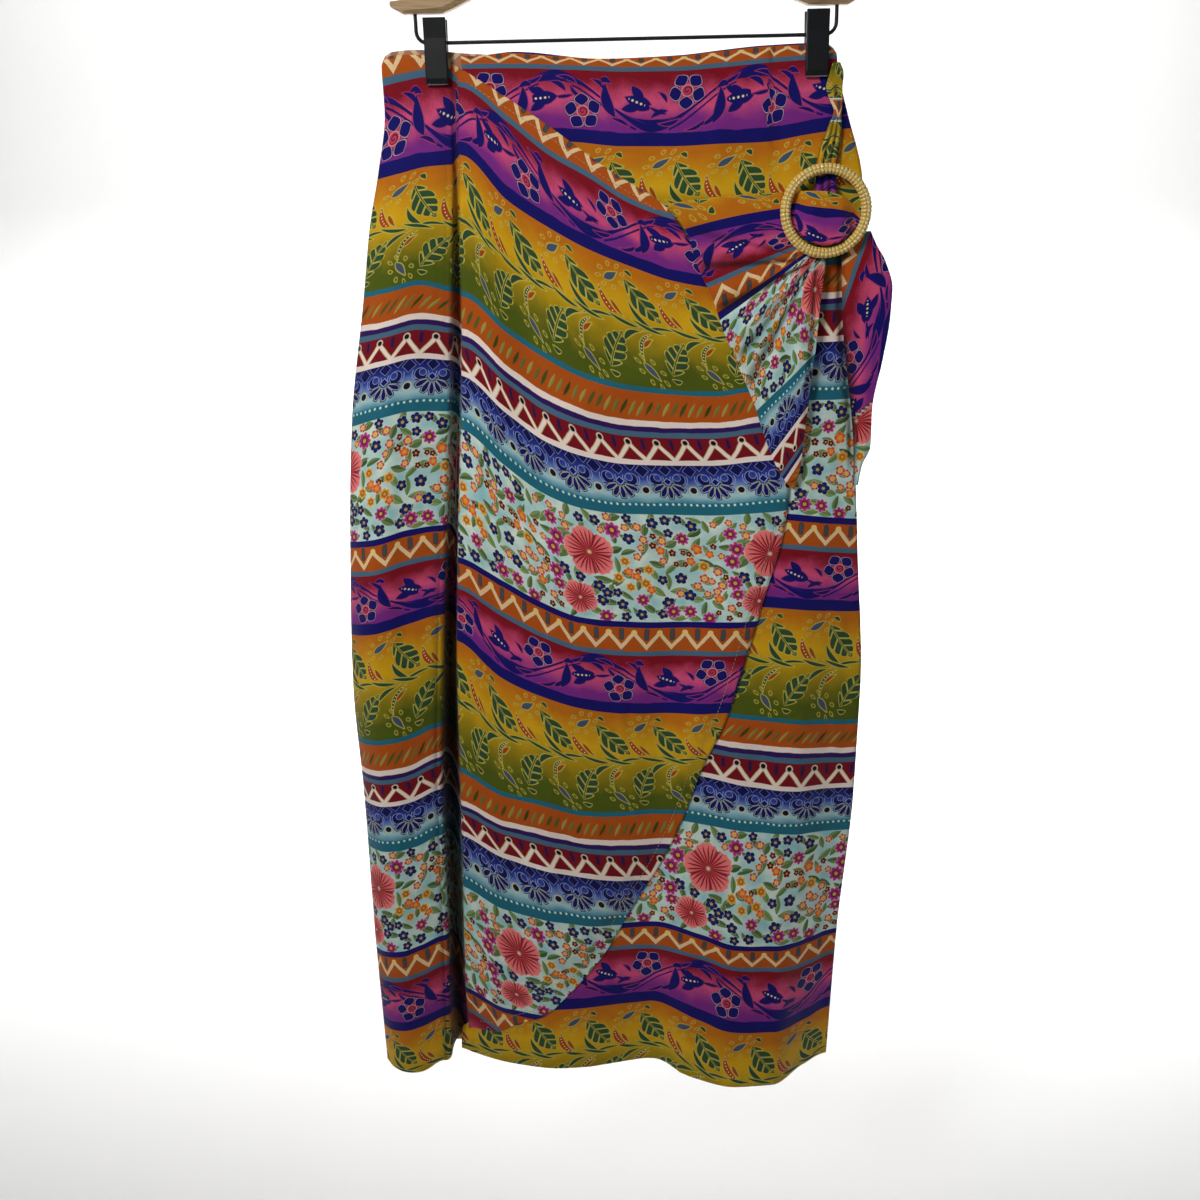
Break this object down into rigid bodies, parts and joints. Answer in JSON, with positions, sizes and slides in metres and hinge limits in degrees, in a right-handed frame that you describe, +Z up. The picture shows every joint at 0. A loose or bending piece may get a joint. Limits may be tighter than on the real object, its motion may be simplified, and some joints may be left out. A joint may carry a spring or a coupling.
{
  "type": "wrap skirt on a clip hanger",
  "caption": "Long wrap skirt of border-printed cloth with a curved lapped front tied through a ring, hung by clips from a wooden hanger.",
  "frame": {"origin": "inside top of the hook, where it rests on a rail", "axes": "+Z up, the front of the skirt faces -Y, +X to the right as the front is looked at"},
  "size_m": [0.4718, 0.0726, 1.0999],
  "materials": {
    "cloth_back": "printed plain weave",
    "cloth_under": "printed plain weave",
    "cloth_overlap": "printed plain weave",
    "cloth_tie": "printed plain weave",
    "ring": "honey yellow with fine ribs",
    "wood": "light varnished wood",
    "steel": "plain steel",
    "black_wire": "dark coated wire",
    "clip_black": "satin black"
  },
  "bodies": {
    "root": {"back_panel": "cloth_back", "under_front_panel": "cloth_under", "overlap_front_panel": "cloth_overlap", "tie_fan": "cloth_tie", "tie_band": "cloth_tie", "tie_end": "cloth_tie", "ring_strap": "cloth_tie", "ring_buckle": "ring", "hanger_bar": "wood", "hanger_hook": "steel", "hanger_wire": "black_wire", "clip_left_front_jaw": "clip_black", "clip_left_back_jaw": "clip_black", "clip_left_spring": "steel", "clip_right_front_jaw": "clip_black", "clip_right_back_jaw": "clip_black", "clip_right_spring": "steel"}
  },
  "joints": []
}
